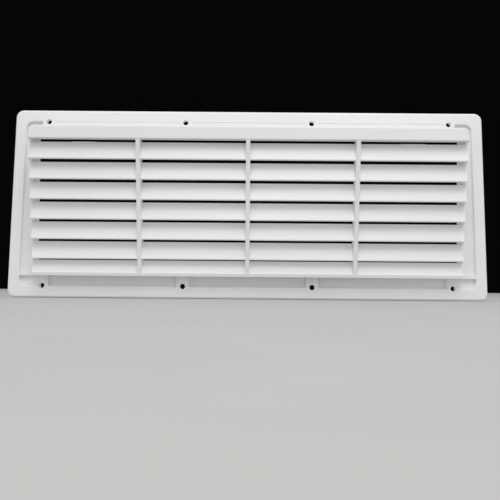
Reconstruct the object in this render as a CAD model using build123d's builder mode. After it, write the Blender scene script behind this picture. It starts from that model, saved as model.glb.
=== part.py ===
from build123d import *
import math
import os

os.makedirs("parts", exist_ok=True)

# Vent grille for the wall behind a caravan fridge: one moulding of white plastic, in millimetres.
# X runs along the grille, Z is up and the louvres face -Y. The back of the flange lies against the
# wall in the plane Y = 0, and the origin is at the middle of the flange.

# Flange: a raised rim, hollow at the back, round a lower floor
flange_width = 400.0
flange_height = 160.0
flange_corner = 6.5
rim_width = 9.4
rim_height = 10.0
rim_depth = 4.5
rim_wall = 1.6
rim_edge_round = 2.0
rim_lip_round = 0.8
floor_thickness = 1.6
floor_corner = 6.0
web_step = 0.4

# Screw pads, flush with the rim
pad_diameter = 11.0
pad_edge_round = 0.6
hole_diameter = 4.5
outer_hole_spacing = 342.5
inner_hole_spacing = 108.0
hole_row_spacing = 139.8

# Hood: an open box that leans out up to an upright fascia, with cheeks that flare towards the wall
hood_width = 353.4
hood_height = 119.8
hood_drop = 1.8
hood_wall = 2.5
hood_foot_depth = 12.5
hood_lean = 12.7
hood_corner = 5.0
hood_edge_round = 1.0
fascia_height = 10.75
cheek_flare = 8.0
cheek_setback = 0.6

# Louvre: slats that step back on the way down, tied by upright ribs
slat_pitch = 15.91
slat_thickness = 2.2
slat_rise = 14.6
slat_angle = 16.0
slat_edge_round = 0.8
last_slat_gap = 0.6
rib_count = 3
rib_spacing = 88.5
rib_thickness = 3.4
rib_setback = 0.3
rib_depth = 10.0
lug_width = 20.0
lug_height = 1.3
lug_proud = 1.0
lug_spacing = 267.0

# Heights, depths and angles that follow from the sizes above
lean = math.radians(hood_lean)
flare = math.radians(cheek_flare)
hood_top = hood_height / 2 - hood_drop
hood_bottom = hood_top - hood_height
inner_top = hood_top - hood_wall
inner_bottom = hood_bottom + hood_wall
fascia_low = hood_top - fascia_height
wall_middle = hood_wall / 2
pad_radius = pad_diameter / 2
hole_height = hole_row_spacing / 2
slat_slope = math.tan(math.radians(slat_angle))
slat_section = slat_thickness / math.cos(math.radians(slat_angle))
floor_top = flange_height / 2 - rim_height
web_depth = rim_depth - web_step


def front_depth(height):
    """How far the leaning front of the louvre stands off the wall at a height."""
    return hood_foot_depth + (height - hood_bottom) * math.tan(lean)


def slat_depth(low, height):
    """How far the face of the slat with its lip at one height stands off the wall at another."""
    return front_depth(low) - (height - low) * slat_slope


def cheek_plane(side, inset):
    """The plane of a cheek, right (1) or left (-1), moved in from its outer face."""
    ahead = math.sin(flare)
    outward = (side * math.cos(flare), -ahead * math.cos(lean), -ahead * math.sin(lean))
    return Plane((side * hood_width / 2, -front_depth(0), 0), z_dir=outward).offset(-inset)


hood_depth = front_depth(fascia_low)
hood_reach = hood_width / 2 + hood_depth

# Lip and top of each slat, from the fascia down; the last one stands on the hood's bottom wall
slat_count = round((fascia_low - inner_bottom) / slat_pitch)
slats = []
for row in range(1, slat_count):
    slats.append((fascia_low - row * slat_pitch, fascia_low - row * slat_pitch + slat_rise))
slats.append((inner_bottom - wall_middle, fascia_low - (slat_count - 1) * slat_pitch - last_slat_gap))

# Front edge of the cheeks, from the foot up: it steps with the slats, just behind their faces
cheek_edge = [(-hood_foot_depth, hood_bottom), (-front_depth(inner_bottom), inner_bottom)]
for low, high in reversed(slats):
    start = max(low, inner_bottom)
    cheek_edge.append((cheek_setback - slat_depth(low, start), start))
    cheek_edge.append((cheek_setback - slat_depth(low, high), high))

# Flange, with its rim channelled from behind so that the walls stay even
with BuildPart() as flange:
    with BuildSketch(Plane.XZ):
        RectangleRounded(flange_width, flange_height, flange_corner)
    extrude(amount=rim_depth)
    fillet(flange.faces().sort_by(Axis.Y)[0].edges(), rim_edge_round)
    with BuildSketch(Plane.XZ.offset(floor_thickness)):
        RectangleRounded(flange_width - 2 * rim_width, flange_height - 2 * rim_height, floor_corner)
    extrude(amount=rim_depth - floor_thickness, mode=Mode.SUBTRACT)
    rim_face = flange.faces().filter_by(Axis.Y).sort_by(Axis.Y)[0]
    fillet(rim_face.inner_wires()[0].edges(), rim_lip_round)
    with BuildSketch(Plane.XZ):
        RectangleRounded(
            flange_width - 2 * rim_wall,
            flange_height - 2 * rim_wall,
            flange_corner - rim_wall,
        )
        RectangleRounded(
            flange_width - 2 * (rim_width - rim_wall),
            flange_height - 2 * (rim_height - rim_wall),
            floor_corner + rim_wall,
            mode=Mode.SUBTRACT,
        )
    extrude(amount=rim_depth - rim_wall, mode=Mode.SUBTRACT)
    # Web along the top of the hood, between the outer pads: almost flush, and hollow at the back
    with BuildSketch(Plane.XZ):
        with Locations((0, (hood_top + floor_top) / 2)):
            Rectangle(outer_hole_spacing, abs(floor_top - hood_top) + rim_wall)
    extrude(amount=web_depth)
    with BuildSketch(Plane.XZ):
        with Locations((0, (hood_top + floor_top) / 2)):
            Rectangle(outer_hole_spacing - 2 * rim_wall, abs(floor_top - hood_top))
    extrude(amount=web_depth - floor_thickness, mode=Mode.SUBTRACT)

# Screw pads: round ends on the rim, run on past the hood's walls, whose inside trims them
pad_runs = ((hood_top - pad_diameter, hole_height), (hood_bottom + pad_diameter, -hole_height))
with BuildPart() as pads:
    with BuildSketch(Plane.XZ):
        for spacing in (outer_hole_spacing, inner_hole_spacing):
            with GridLocations(spacing, hole_row_spacing, 2, 2):
                Circle(pad_radius)
            for hood_face, row in pad_runs:
                with Locations((0, (hood_face + row) / 2)):
                    with GridLocations(spacing, 0, 2, 1):
                        Rectangle(pad_diameter, abs(row - hood_face))
    extrude(amount=rim_depth)
    fillet(pads.faces().group_by(Axis.Y)[0].edges(), pad_edge_round)

# Hood, still solid, with its top corners and the fascia's edges rounded
with BuildPart() as hood:
    with BuildSketch(Plane.YZ):
        with BuildLine():
            Polyline(
                (0, hood_bottom),
                *cheek_edge,
                (-hood_depth, fascia_low),
                (-hood_depth, hood_top),
                (0, hood_top),
                close=True,
            )
        make_face()
    extrude(amount=hood_reach, both=True)
    split(bisect_by=cheek_plane(1, 0), keep=Keep.BOTTOM)
    split(bisect_by=cheek_plane(-1, 0), keep=Keep.BOTTOM)
    top_face = hood.faces().sort_by(Axis.Z)[-1]
    fillet(top_face.edges().filter_by(Axis.X, reverse=True), hood_corner)
    fillet(hood.faces().sort_by(Axis.Y)[0].edges(), hood_edge_round)

# The inside of the hood, open at the back and below the fascia
with BuildPart() as inside:
    with BuildSketch(Plane.YZ):
        with BuildLine():
            Polyline(
                (hood_wall, inner_bottom),
                (-2 * hood_depth, inner_bottom),
                (-2 * hood_depth, fascia_low),
                (hood_wall - hood_depth, fascia_low),
                (hood_wall - hood_depth, inner_top),
                (hood_wall, inner_top),
                close=True,
            )
        make_face()
    extrude(amount=hood_reach, both=True)
    split(bisect_by=cheek_plane(1, hood_wall), keep=Keep.BOTTOM)
    split(bisect_by=cheek_plane(-1, hood_wall), keep=Keep.BOTTOM)

# Louvre: the slats end flush with the outside of the cheeks
with BuildPart() as louvre:
    for low, high in slats:
        with BuildSketch(Plane.YZ) as slat:
            with BuildLine():
                Polyline(
                    (-slat_depth(low, low), low),
                    (-slat_depth(low, high), high),
                    (slat_section - slat_depth(low, high), high),
                    (slat_section - slat_depth(low, low), low),
                    close=True,
                )
            make_face()
            fillet(slat.vertices().sort_by(Axis.X)[0], slat_edge_round)
        extrude(amount=hood_reach, both=True)
    split(bisect_by=cheek_plane(1, 0), keep=Keep.BOTTOM)
    split(bisect_by=cheek_plane(-1, 0), keep=Keep.BOTTOM)

# Ribs, rooted in the fascia and in the top and bottom walls
rib_low = inner_bottom - wall_middle
rib_high = inner_top + wall_middle
with BuildPart() as ribs:
    for rib in range(rib_count):
        with BuildSketch(Plane.YZ.offset((rib - (rib_count - 1) / 2) * rib_spacing)):
            with BuildLine():
                Polyline(
                    (rib_setback - front_depth(rib_low), rib_low),
                    (rib_setback - hood_depth, fascia_low),
                    (wall_middle - hood_depth, fascia_low),
                    (wall_middle - hood_depth, rib_high),
                    (rib_setback + rib_depth - front_depth(rib_high), rib_high),
                    (rib_setback + rib_depth - front_depth(rib_low), rib_low),
                    close=True,
                )
            make_face()
        extrude(amount=rib_thickness / 2, both=True)

# The whole moulding
with BuildPart() as vent_grille:
    add(flange.part)
    add(pads.part)
    add(hood.part)
    # The hood's bottom wall runs on to the rim at both ends
    with BuildSketch(Plane.XZ):
        with Locations((0, (hood_bottom + inner_bottom) / 2)):
            Rectangle(flange_width - 2 * rim_width + rim_wall, hood_wall)
    extrude(amount=rim_depth)
    add(inside.part, mode=Mode.SUBTRACT)
    add(louvre.part)
    add(ribs.part)
    # Two low lugs along the top edge of the first slat, a little proud of its face
    lug_middle = (slat_section - lug_proud) / 2 - slat_depth(*slats[0])
    with Locations((0, lug_middle, slats[0][1] - lug_height / 2)):
        with GridLocations(lug_spacing, 0, 2, 1):
            Box(lug_width, slat_section + lug_proud, lug_height)
    # Screw holes
    with BuildSketch(Plane.XZ):
        for spacing in (outer_hole_spacing, inner_hole_spacing):
            with GridLocations(spacing, hole_row_spacing, 2, 2):
                Circle(hole_diameter / 2)
    extrude(amount=rim_depth, mode=Mode.SUBTRACT)

vent_grille.part.label = "vent_grille"
export_step(vent_grille.part, "parts/vent_grille.step")
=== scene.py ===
import math

import bpy
from mathutils import Matrix, Vector


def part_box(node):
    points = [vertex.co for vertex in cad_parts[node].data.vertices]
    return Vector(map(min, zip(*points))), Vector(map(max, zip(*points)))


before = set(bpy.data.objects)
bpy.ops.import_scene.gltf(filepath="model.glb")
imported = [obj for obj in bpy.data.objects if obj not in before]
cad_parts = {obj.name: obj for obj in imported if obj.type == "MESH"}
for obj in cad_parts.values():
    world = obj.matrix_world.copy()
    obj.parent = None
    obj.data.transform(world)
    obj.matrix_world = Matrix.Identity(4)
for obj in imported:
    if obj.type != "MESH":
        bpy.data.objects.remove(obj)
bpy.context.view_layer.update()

MM = 0.001
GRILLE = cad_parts["vent_grille"]
FLOOR_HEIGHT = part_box("vent_grille")[0][2]

# The photograph's eye: where the lens stands, how it is turned and how far it sees
IMAGE_SIDE = 500
EYE = Vector((3.776, -499.8, -73.01)) * MM
PITCH_UP = math.radians(6.279)
YAW_RIGHT = math.radians(-0.19)
ROLL = math.radians(0.497)
FOCAL_PIXELS = 592.3
AXIS_ABOVE_MIDDLE = 24.35
AXIS_RIGHT_OF_MIDDLE = 0.3
SENSOR = 36.0
NEAR_LIMIT = 1 * MM

# White ABS: flow drifts drawn out along the grille, a satin that follows them, and a fine grain.
# The mould's grain is about 0.2 mm; it is drawn at 0.9 mm, because 0.2 mm is too fine to show.
WHITE_TONES = ("#E9E9E9", "#F0F0F0")
SATIN = (0.36, 0.46)
ABS_IOR = 1.53
FLOW_SIZE = 70 * MM
FLOW_STRETCH = (0.35, 1.0, 1.0)
FLOW_SPAN = (0.3, 0.7)
GRAIN_SIZE = 0.9 * MM
GRAIN_DEPTH = 0.03 * MM
GRAIN_STRENGTH = 0.25

# Floor: pale painted board with a faint mottle
BOARD_TONES = ("#B5B5B3", "#BCBCBA")
BOARD_ROUGHNESS = 0.9
MOTTLE_SIZE = 25 * MM
MOTTLE_SPAN = (0.0, 1.0)
FLOOR_SIDE = 40.0

# Light: an even glow from all round and two softboxes, each with its place in metres and its watts
AMBIENT = "#FFFFFF"
AMBIENT_LEVEL = 0.77
BACKDROP = "#060606"
BACKDROP_LEVEL = 1.0
SOFTBOX_SIDE = 0.8
SOFTBOXES = {
    "key": ((0.08, -0.7, 1.21), 6.4),
    "front": ((0.12, -0.99, 0.99), 2.6),
}


def colour(code):
    """A linear RGBA colour from an sRGB hex value."""
    parts = [int(code[i:i + 2], 16) / 255 for i in (1, 3, 5)]
    return [p / 12.92 if p <= 0.04045 else ((p + 0.055) / 1.055) ** 2.4 for p in parts] + [1.0]


def add_node(tree, kind, links=None, inputs=None, **settings):
    """Adds a node to a tree, with its settings, fixed inputs and links from (node, output)."""
    node = tree.nodes.new(kind)
    for name, value in settings.items():
        setattr(node, name, value)
    for name, value in (inputs or {}).items():
        node.inputs[name].default_value = value
    for name, (source, output) in (links or {}).items():
        tree.links.new(source.outputs[output], node.inputs[name])
    return node


def two_tones(tree, pattern, tones, span):
    """A ramp from one tone to another over a span of a pattern's values."""
    ramp = add_node(tree, "ShaderNodeValToRGB", {"Fac": (pattern, "Fac")})
    for stop, tone, value in zip(ramp.color_ramp.elements, tones, span):
        stop.position = value
        stop.color = colour(tone)
    return ramp


def new_material(name):
    """An empty node material, its tree, and a node that gives the place on the object."""
    material = bpy.data.materials.new(name)
    material.use_nodes = True
    tree = material.node_tree
    tree.nodes.clear()
    return material, tree, add_node(tree, "ShaderNodeTexCoord")


def moulded_white_abs():
    """White ABS, injection moulded in a finely spark-eroded mould: a clean, neutral white with a
    satin sheen, a fine grain, and slow drifts of tone where the plastic flowed."""
    material, tree, place = new_material("moulded_white_abs")
    along = add_node(
        tree, "ShaderNodeMapping", {"Vector": (place, "Object")}, {"Scale": FLOW_STRETCH},
    )
    flow = add_node(
        tree, "ShaderNodeTexNoise", {"Vector": (along, "Vector")},
        {"Scale": 1 / FLOW_SIZE, "Detail": 3.0, "Roughness": 0.5},
    )
    white = two_tones(tree, flow, WHITE_TONES, FLOW_SPAN)
    grain = add_node(
        tree, "ShaderNodeTexNoise", {"Vector": (place, "Object")},
        {"Scale": 1 / GRAIN_SIZE, "Detail": 2.0, "Roughness": 0.6},
    )
    satin = add_node(
        tree, "ShaderNodeMapRange", {"Value": (flow, "Fac")},
        {
            "From Min": FLOW_SPAN[0], "From Max": FLOW_SPAN[1],
            "To Min": SATIN[0], "To Max": SATIN[1],
        },
    )
    relief = add_node(
        tree, "ShaderNodeBump", {"Height": (grain, "Fac")},
        {"Strength": GRAIN_STRENGTH, "Distance": GRAIN_DEPTH},
    )
    plastic = add_node(
        tree, "ShaderNodeBsdfPrincipled",
        {
            "Base Color": (white, "Color"),
            "Roughness": (satin, "Result"),
            "Normal": (relief, "Normal"),
        },
        {"IOR": ABS_IOR},
    )
    add_node(tree, "ShaderNodeOutputMaterial", {"Surface": (plastic, "BSDF")})
    return material


def pale_board():
    """Pale grey painted board: matte, with a faint mottle."""
    material, tree, place = new_material("pale_board")
    mottle = add_node(
        tree, "ShaderNodeTexNoise", {"Vector": (place, "Object")},
        {"Scale": 1 / MOTTLE_SIZE, "Detail": 2.0},
    )
    grey = two_tones(tree, mottle, BOARD_TONES, MOTTLE_SPAN)
    board = add_node(
        tree, "ShaderNodeBsdfPrincipled", {"Base Color": (grey, "Color")},
        {"Roughness": BOARD_ROUGHNESS},
    )
    add_node(tree, "ShaderNodeOutputMaterial", {"Surface": (board, "BSDF")})
    return material


def make_camera():
    """A camera at the photograph's place, angle and framing."""
    ahead = Vector((
        math.sin(YAW_RIGHT) * math.cos(PITCH_UP),
        math.cos(YAW_RIGHT) * math.cos(PITCH_UP),
        math.sin(PITCH_UP),
    ))
    level_right = Vector((math.cos(YAW_RIGHT), -math.sin(YAW_RIGHT), 0))
    level_up = level_right.cross(ahead)
    right = level_right * math.cos(ROLL) + level_up * math.sin(ROLL)
    up = level_up * math.cos(ROLL) - level_right * math.sin(ROLL)
    camera = bpy.data.objects.new("camera", bpy.data.cameras.new("camera"))
    bpy.context.scene.collection.objects.link(camera)
    turn = Matrix((right, up, -ahead)).transposed()
    camera.matrix_world = Matrix.Translation(EYE) @ turn.to_4x4()
    camera.data.sensor_width = SENSOR
    camera.data.lens = FOCAL_PIXELS / IMAGE_SIDE * SENSOR
    camera.data.shift_x = -AXIS_RIGHT_OF_MIDDLE / IMAGE_SIDE
    camera.data.shift_y = -AXIS_ABOVE_MIDDLE / IMAGE_SIDE
    camera.data.clip_start = NEAR_LIMIT
    bpy.context.scene.camera = camera


def make_softbox(name, place, power):
    """A square lamp at a place, turned to face the middle of the grille's flange."""
    lamp = bpy.data.objects.new(name, bpy.data.lights.new(name, "AREA"))
    lamp.data.size = SOFTBOX_SIDE
    lamp.data.energy = power
    lamp.location = place
    lamp.rotation_euler = (-Vector(place)).to_track_quat("-Z", "Y").to_euler()
    bpy.context.scene.collection.objects.link(lamp)


def make_world():
    """Soft light from all round, with a plain backdrop for the camera and for reflections."""
    world = bpy.data.worlds.new("studio")
    world.use_nodes = True
    tree = world.node_tree
    tree.nodes.clear()
    rays = add_node(tree, "ShaderNodeLightPath")
    mirrored = add_node(
        tree, "ShaderNodeMath",
        {0: (rays, "Is Glossy Ray"), 1: (rays, "Is Transmission Ray")}, operation="MAXIMUM",
    )
    seen = add_node(
        tree, "ShaderNodeMath",
        {0: (rays, "Is Camera Ray"), 1: (mirrored, "Value")}, operation="MAXIMUM",
    )
    light = add_node(
        tree, "ShaderNodeBackground",
        inputs={"Color": colour(AMBIENT), "Strength": AMBIENT_LEVEL},
    )
    cloth = add_node(
        tree, "ShaderNodeBackground",
        inputs={"Color": colour(BACKDROP), "Strength": BACKDROP_LEVEL},
    )
    both = add_node(
        tree, "ShaderNodeMixShader",
        {0: (seen, "Value"), 1: (light, "Background"), 2: (cloth, "Background")},
    )
    add_node(tree, "ShaderNodeOutputWorld", {"Surface": (both, "Shader")})
    bpy.context.scene.world = world


def make_floor():
    """A plain pale floor under the grille's lower edge."""
    bpy.ops.object.select_all(action="DESELECT")
    bpy.ops.mesh.primitive_plane_add(size=FLOOR_SIDE, location=(0, 0, FLOOR_HEIGHT))
    floor = bpy.context.active_object
    floor.name = "floor"
    bpy.ops.object.transform_apply(location=True, rotation=True, scale=True)
    floor.data.materials.append(pale_board())


bpy.context.scene.view_settings.view_transform = "Standard"
make_camera()
make_world()
make_floor()
for name, (place, power) in SOFTBOXES.items():
    make_softbox(name, place, power)

GRILLE.data.materials.clear()
GRILLE.data.materials.append(moulded_white_abs())
